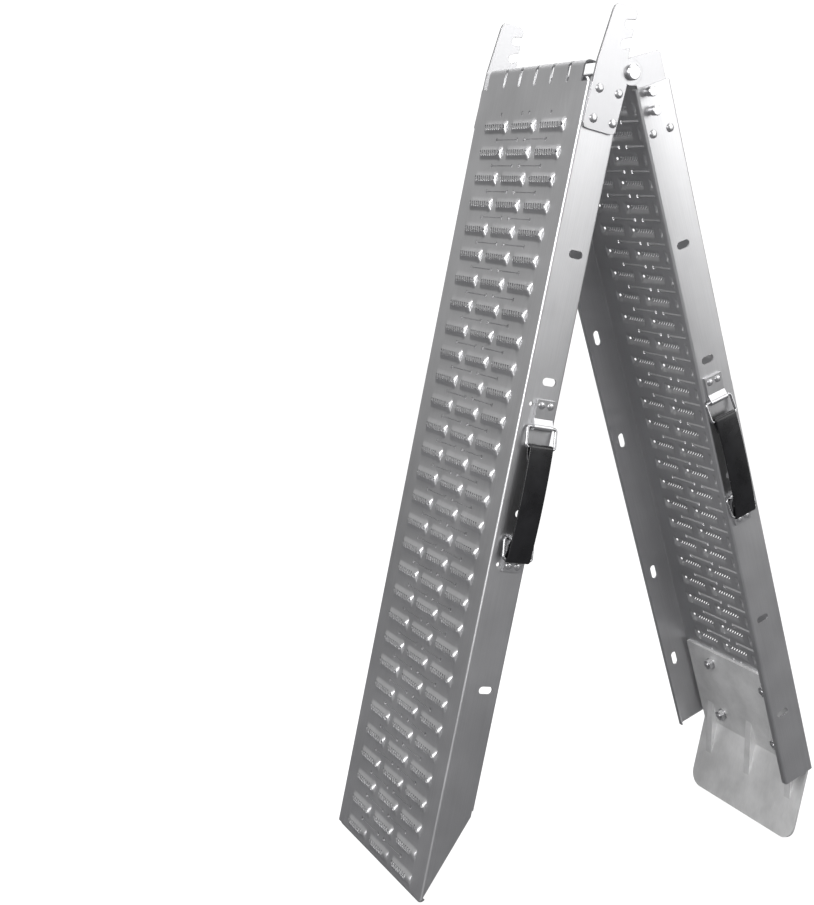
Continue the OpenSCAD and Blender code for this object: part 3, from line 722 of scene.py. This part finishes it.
fnt.links.new(pick.outputs[0], fout.inputs["Surface"])
floor.materials.append(fmat)

world = bpy.data.worlds.new("studio")
bpy.context.scene.world = world
world.use_nodes = True
wn = world.node_tree
wn.nodes.clear()
wo = wn.nodes.new("ShaderNodeOutputWorld")
seen = node(wn, "ShaderNodeBackground", in_Color=(1, 1, 1, 1), in_Strength=SKY_SEEN)
room = node(wn, "ShaderNodeBackground", in_Color=(1, 1, 1, 1), in_Strength=SKY_LIGHT)
wsight = wn.nodes.new("ShaderNodeLightPath")
wpick = wn.nodes.new("ShaderNodeMixShader")
wn.links.new(wsight.outputs["Is Camera Ray"], wpick.inputs[0])
wn.links.new(room.outputs["Background"], wpick.inputs[1])
wn.links.new(seen.outputs["Background"], wpick.inputs[2])
wn.links.new(wpick.outputs[0], wo.inputs["Surface"])
bpy.context.scene.view_settings.view_transform = "Standard"


def area(name, place, target, size, power):
    """A rectangular light at place, facing target."""
    light = bpy.data.lights.new(name, "AREA")
    light.shape = "RECTANGLE"
    light.size, light.size_y = size
    light.energy = power
    ob = bpy.data.objects.new(name, light)
    ob.location = place
    ob.rotation_euler = (Vector(target) - Vector(place)).to_track_quat("-Z", "Y").to_euler()
    bpy.context.scene.collection.objects.link(ob)


area("key", (1.9, -2.9, 2.1), (0.1, 0, 0.75), (2.6, 2.0), 46)
area("fill", (-3.0, -1.5, 1.6), (0, 0, 0.6), (1.6, 2.0), 92)
area("top", (0, 0.4, 3.4), (0, 0, 0.5), (3.5, 3.5), 90)

# The view is tied to the toe half, which fills most of it: its place and direction are given for a toe half
# that leans by SEEN_LEAN, in metres from the pivot, and are then turned to the lean it has.
SEEN_LEAN = math.radians(4.752)
EYE_FROM_PIVOT = (-0.8778, -1.3189, -0.2181)
SIGHT_LINE = (0.47482, 0.86722, -0.14992)
ROLL = math.radians(6.893)
LENS_MM, SENSOR_MM = 52.55, 36

turn = Matrix.Rotation(math.atan2(-TOE.s.x, -TOE.s.z) - SEEN_LEAN, 3, "Y")
eye = PIVOT / 1000 + turn @ Vector(EYE_FROM_PIVOT)
forward = (turn @ Vector(SIGHT_LINE)).normalized()
level = forward.cross(turn @ Vector((0, 0, 1))).normalized()
upright = level.cross(forward)
up = upright * math.cos(ROLL) - level * math.sin(ROLL)
right = upright * math.sin(ROLL) + level * math.cos(ROLL)
cam = bpy.data.cameras.new("camera")
cam.lens, cam.sensor_width, cam.sensor_fit = LENS_MM, SENSOR_MM, "AUTO"
cam.clip_end = 50
cam_ob = bpy.data.objects.new("camera", cam)
cam_ob.matrix_world = Matrix((
    (right.x, up.x, -forward.x, eye.x), (right.y, up.y, -forward.y, eye.y),
    (right.z, up.z, -forward.z, eye.z), (0, 0, 0, 1)))
bpy.context.scene.collection.objects.link(cam_ob)
bpy.context.scene.camera = cam_ob
